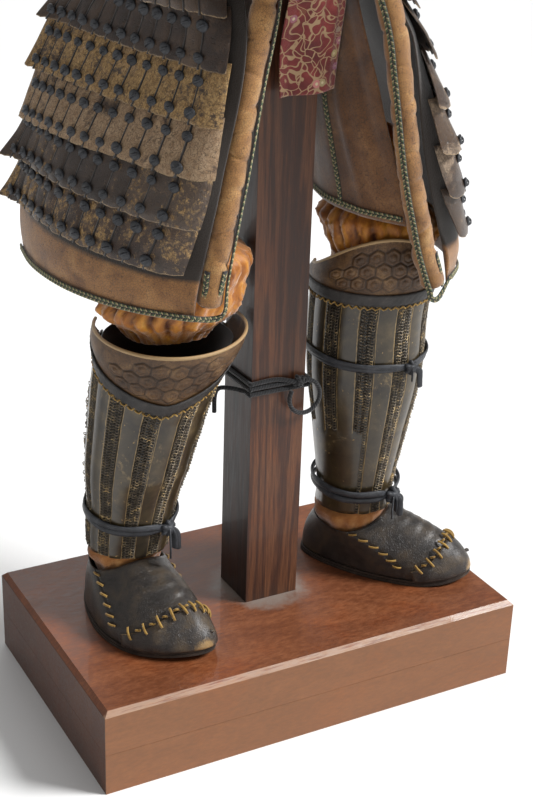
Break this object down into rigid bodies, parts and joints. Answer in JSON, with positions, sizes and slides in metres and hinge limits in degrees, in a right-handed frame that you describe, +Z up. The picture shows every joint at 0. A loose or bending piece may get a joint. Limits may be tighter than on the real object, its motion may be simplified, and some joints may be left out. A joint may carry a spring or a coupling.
{
  "type": "samurai armour on a wooden stand",
  "caption": "Hollow Japanese armour standing on a wooden post and base, with plated thigh guards, puffed trousers, splinted shin guards and pointed leather shoes.",
  "frame": {"origin": "centre of the wooden base's underside", "axes": "+Z up; the armour faces -Y, and +X is the armour's own left"},
  "size_m": [0.6856, 0.4883, 1.8291],
  "materials": {
    "stand_wood": "stained wood with a strong grain",
    "black_cord": "twisted cord",
    "sole_leather": "dark sole leather",
    "shoe_leather": "black-brown leather, worn",
    "toe_leather": "black-brown leather with a tan worn tip",
    "legging_cloth": "orange-brown cloth",
    "shin_lacquer": "lacquered splints on mail and leather",
    "knee_leather": "brown leather over hexagon plates",
    "border_leather": "dark leather strap",
    "plate_leather": "lacquered leather plates, worn to tan",
    "guard_cloth": "thick tan cloth",
    "guard_braid": "flat patterned braid",
    "inner_suede": "brown suede",
    "trouser_silk": "orange-gold silk",
    "belt_cloth": "plain woven band",
    "sash_brocade": "red brocade",
    "body_lacquer": "dark lacquered leather",
    "sleeve_cloth": "dark woven cloth",
    "helmet_iron": "dark lacquered iron"
  },
  "bodies": {
    "root": {"base_lower": "stand_wood", "base_upper": "stand_wood", "post": "stand_wood", "post_tie": "black_cord", "knee_tie_left": "black_cord", "waist_belt": "belt_cloth", "sash_end": "sash_brocade", "cuirass_front": "body_lacquer", "cuirass_back": "body_lacquer", "helmet_bowl": "helmet_iron", "neck_guard": "body_lacquer", "sole_right": "sole_leather", "shoe_right": "shoe_leather", "toe_cap_right": "toe_leather", "legging_right": "legging_cloth", "shin_guard_right": "shin_lacquer", "knee_guard_right": "knee_leather", "knee_border_right": "border_leather", "ankle_tie_right": "black_cord", "thigh_cloth_right": "guard_cloth", "thigh_inner_right": "inner_suede", "thigh_roll_right": "guard_cloth", "thigh_braid_right": "guard_braid", "trouser_right": "trouser_silk", "sleeve_right": "sleeve_cloth", "shoulder_guard_right": "body_lacquer", "plates_right_a": "plate_leather", "plates_right_b": "plate_leather", "plates_right_c": "plate_leather", "plates_right_d": "plate_leather", "plates_right_e": "plate_leather", "plates_right_f": "plate_leather", "sole_left": "sole_leather", "shoe_left": "shoe_leather", "toe_cap_left": "toe_leather", "legging_left": "legging_cloth", "shin_guard_left": "shin_lacquer", "knee_guard_left": "knee_leather", "knee_border_left": "border_leather", "ankle_tie_left": "black_cord", "thigh_cloth_left": "guard_cloth", "thigh_inner_left": "inner_suede", "thigh_roll_left": "guard_cloth", "thigh_braid_left": "guard_braid", "trouser_left": "trouser_silk", "sleeve_left": "sleeve_cloth", "shoulder_guard_left": "body_lacquer", "plates_left_a": "plate_leather", "plates_left_b": "plate_leather", "plates_left_c": "plate_leather", "plates_left_d": "plate_leather", "plates_left_e": "plate_leather", "plates_left_f": "plate_leather", "tasset_1": "body_lacquer", "tasset_2": "body_lacquer", "tasset_3": "body_lacquer", "tasset_4": "body_lacquer", "tasset_5": "body_lacquer", "tasset_6": "body_lacquer", "tasset_7": "body_lacquer"}
  },
  "joints": []
}
